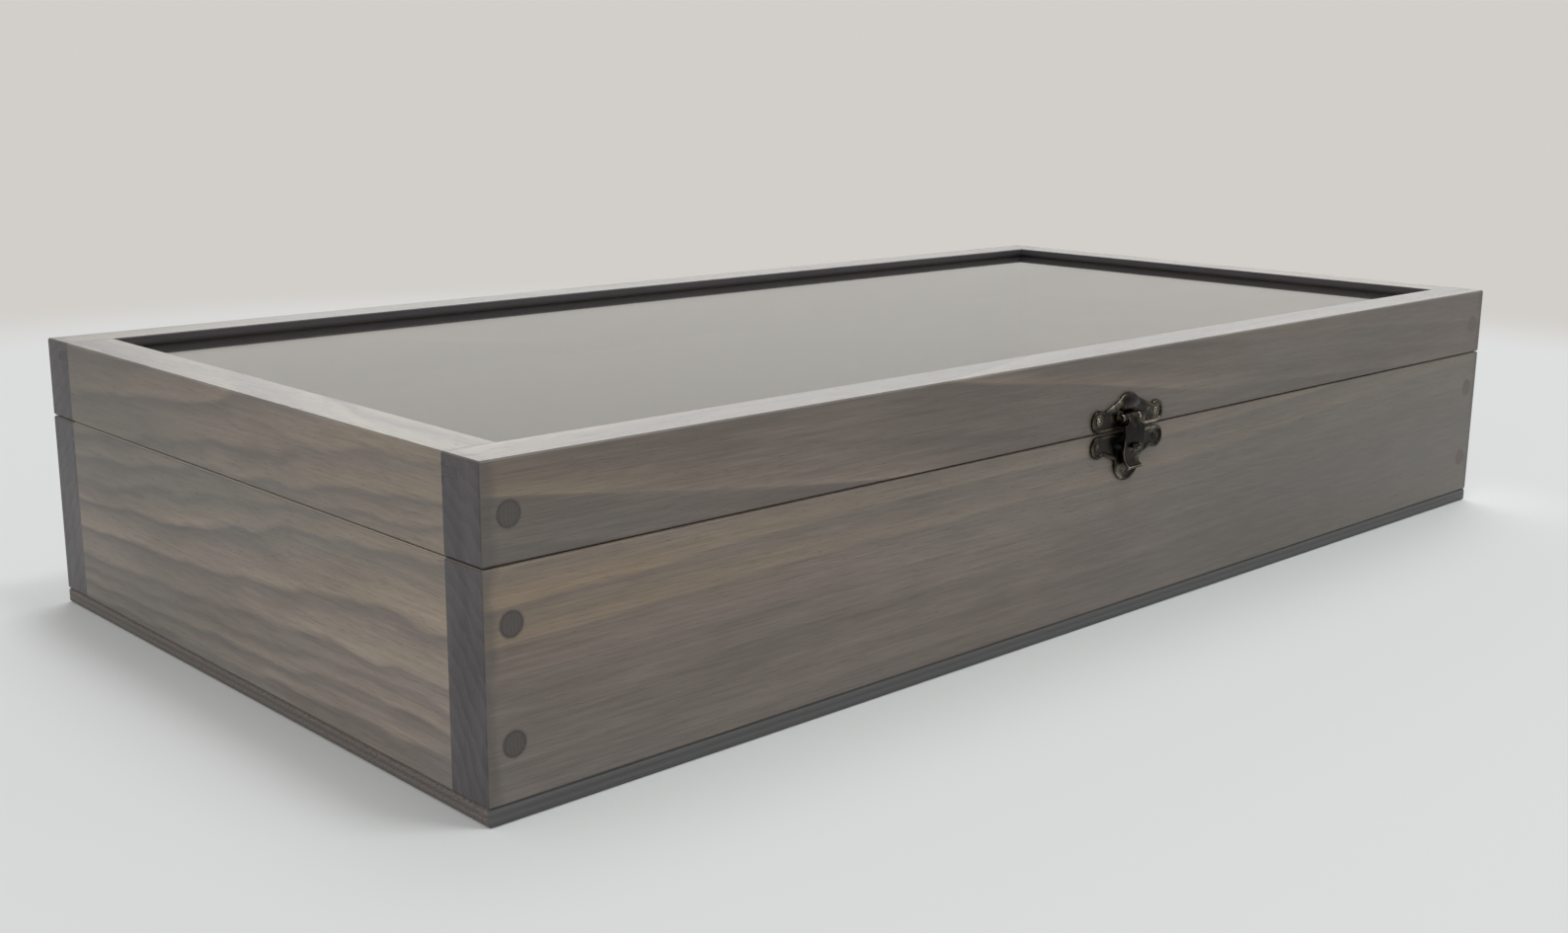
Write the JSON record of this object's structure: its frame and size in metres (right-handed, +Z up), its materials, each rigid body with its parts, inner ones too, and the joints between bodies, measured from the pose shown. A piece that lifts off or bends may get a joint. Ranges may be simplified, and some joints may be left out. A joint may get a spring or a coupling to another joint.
{
  "type": "pin display case",
  "caption": "Shallow table-top display case of stained boards with a hinged clear-pane lid, a covered pin board inside and a lobed front latch.",
  "frame": {"origin": "middle of the underside of the plywood bottom", "axes": "+X along the length to the right, +Y from the latch side to the hinge side, +Z up"},
  "size_m": [0.61, 0.315, 0.11],
  "materials": {
    "stained_pine": "grey stained, open grain",
    "pine_dowel": "grey stained end grain",
    "plywood": "grey stained, raw edge",
    "board_core": "soft fibre board",
    "lining_cloth": "plain woven",
    "clear_pane": "clear, polished",
    "antique_bronze": "dark antique, rubbed edges"
  },
  "bodies": {
    "base": {"base_front_board": "stained_pine", "base_back_board": "stained_pine", "base_left_board": "stained_pine", "base_right_board": "stained_pine", "bottom_panel": "plywood", "base_dowels": "pine_dowel", "pin_board_core": "board_core", "pin_board_cover": "lining_cloth", "hinge_base_leaf_left": "antique_bronze", "hinge_base_leaf_right": "antique_bronze", "hinge_pins": "antique_bronze", "hinge_base_nails": "antique_bronze", "latch_lower_plate": "antique_bronze", "latch_catch": "antique_bronze", "latch_lower_nails": "antique_bronze"},
    "lid": {"lid_front_board": "stained_pine", "lid_back_board": "stained_pine", "lid_left_board": "stained_pine", "lid_right_board": "stained_pine", "lid_dowels": "pine_dowel", "lid_groove_plugs": "pine_dowel", "glass_pane": "clear_pane", "hinge_lid_leaf_left": "antique_bronze", "hinge_lid_leaf_right": "antique_bronze", "hinge_lid_nails": "antique_bronze", "latch_upper_plate": "antique_bronze", "latch_upper_nails": "antique_bronze", "latch_hasp_pin": "antique_bronze"},
    "hasp": {"latch_hasp": "antique_bronze"}
  },
  "joints": [
    {"name": "lid_hinge", "type": "hinge", "parent": "base", "child": "lid", "pos_m": [0, 0.15455, 0.0786], "axis": [-1, 0, 0], "range_deg": [0, 180]},
    {"name": "hasp_hinge", "type": "hinge", "parent": "lid", "child": "hasp", "pos_m": [0, -0.155, 0.084], "axis": [-1, 0, 0], "range_deg": [0, 140]}
  ]
}
